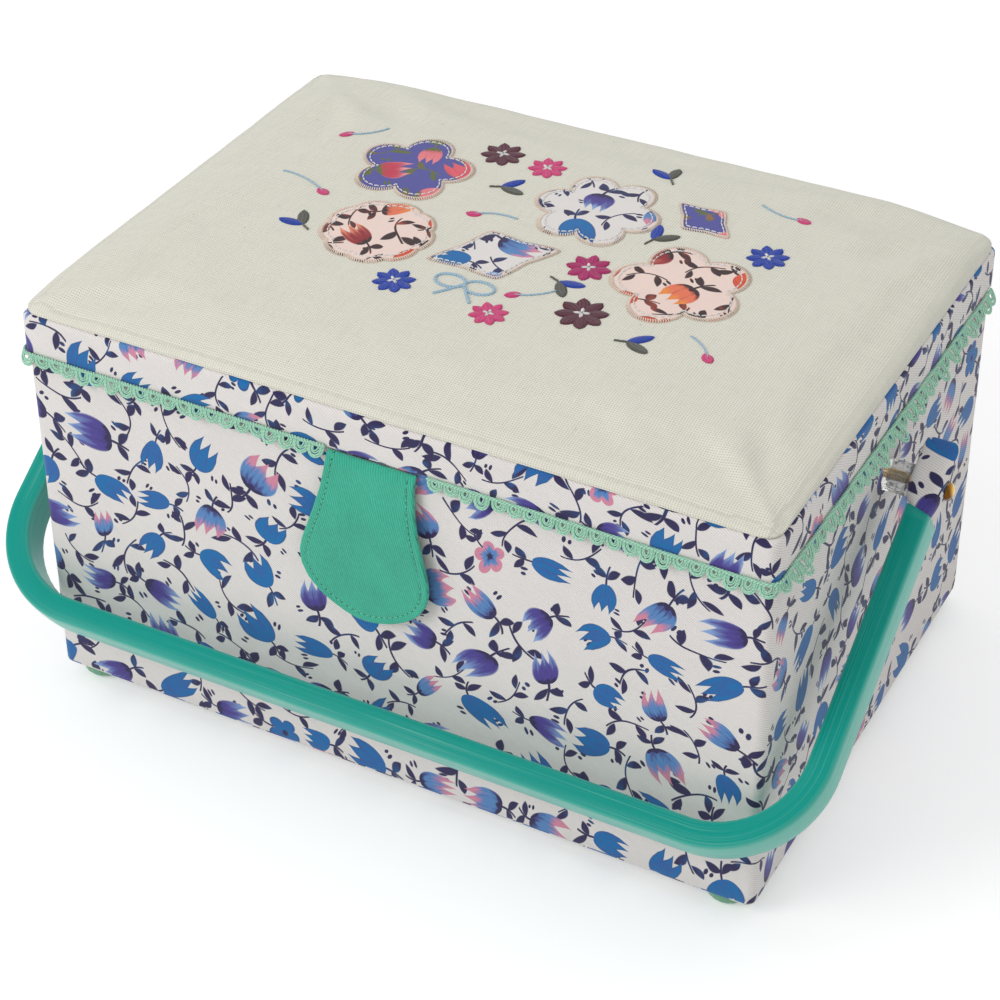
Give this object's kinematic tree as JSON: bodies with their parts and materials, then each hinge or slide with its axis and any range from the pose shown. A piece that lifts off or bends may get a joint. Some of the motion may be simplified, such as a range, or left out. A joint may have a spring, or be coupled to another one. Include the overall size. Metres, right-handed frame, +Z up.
{
  "type": "sewing box",
  "caption": "Fabric-covered rectangular sewing box with a padded hinged lid, rounded closure tab, swinging bail handle, lift-out tray and domed feet.",
  "frame": {"origin": "centre of the closed box's footprint, handle included, on the surface the feet stand on", "axes": "+X to the right along the box's width, +Y to the back, where the lid is hinged, +Z up"},
  "size_m": [0.375, 0.2526, 0.1931],
  "materials": {
    "board": "raw grey board",
    "printed_cotton": "woven cotton with a small floral print",
    "lining_cloth": "plain woven lining",
    "foot_plastic": "semi-gloss",
    "brass": "polished",
    "clear_plastic": "clear faceted plastic",
    "nickel": "plated",
    "green_twill": "cotton twill",
    "foam": "wadding",
    "cream_canvas": "plain-weave canvas",
    "mint_thread": "looped braid",
    "handle_plastic": "glossy flexible sleeve",
    "tray_plastic": "moulded, satin"
  },
  "bodies": {
    "body": {"front_board": "board", "back_board": "board", "left_board": "board", "right_board": "board", "base_board": "board", "body_cover": "printed_cotton", "bottom_panel": "lining_cloth", "body_lining": "lining_cloth", "tray_ledge_left": "lining_cloth", "tray_ledge_right": "lining_cloth", "foot_front_left": "foot_plastic", "foot_front_right": "foot_plastic", "foot_back_left": "foot_plastic", "foot_back_right": "foot_plastic", "pivot_pin_left": "brass", "pivot_pin_right": "brass", "spacer_left": "clear_plastic", "spacer_right": "clear_plastic", "pin_washer_left": "nickel", "pin_washer_right": "nickel", "body_magnet": "nickel", "hinge_cloth_body": "printed_cotton"},
    "lid": {"lid_front_board": "board", "lid_back_board": "board", "lid_left_board": "board", "lid_right_board": "board", "lid_top_board": "board", "lid_cover": "printed_cotton", "lid_lining": "lining_cloth", "pincushion": "green_twill", "lid_pocket": "lining_cloth", "panel_board": "board", "foam_pad": "foam", "canvas_cover": "cream_canvas", "trim_left": "mint_thread", "trim_right": "mint_thread", "hinge_cloth_lid": "printed_cotton"},
    "tab": {"closure_tab": "green_twill", "tab_magnet": "nickel"},
    "handle": {"handle_strap": "printed_cotton", "handle_sleeve": "handle_plastic"},
    "tray": {"tray": "tray_plastic"}
  },
  "joints": [
    {"name": "lid_hinge", "type": "hinge", "parent": "body", "child": "lid", "pos_m": [0, 0.12626, 0.16415], "axis": [-1, 0, 0], "range_deg": [0, 105]},
    {"name": "tab_flex", "type": "hinge", "parent": "lid", "child": "tab", "pos_m": [-0.002, -0.10185, 0.1643], "axis": [-1, 0, 0], "range_deg": [0, 90]},
    {"name": "handle_swing", "type": "hinge", "parent": "body", "child": "handle", "pos_m": [0, 0.01215, 0.1405], "axis": [-1, 0, 0], "range_deg": [0, 248]},
    {"name": "tray_lift", "type": "slide", "parent": "body", "child": "tray", "axis": [0, 0, 1], "range_m": [0, 0.01]}
  ]
}
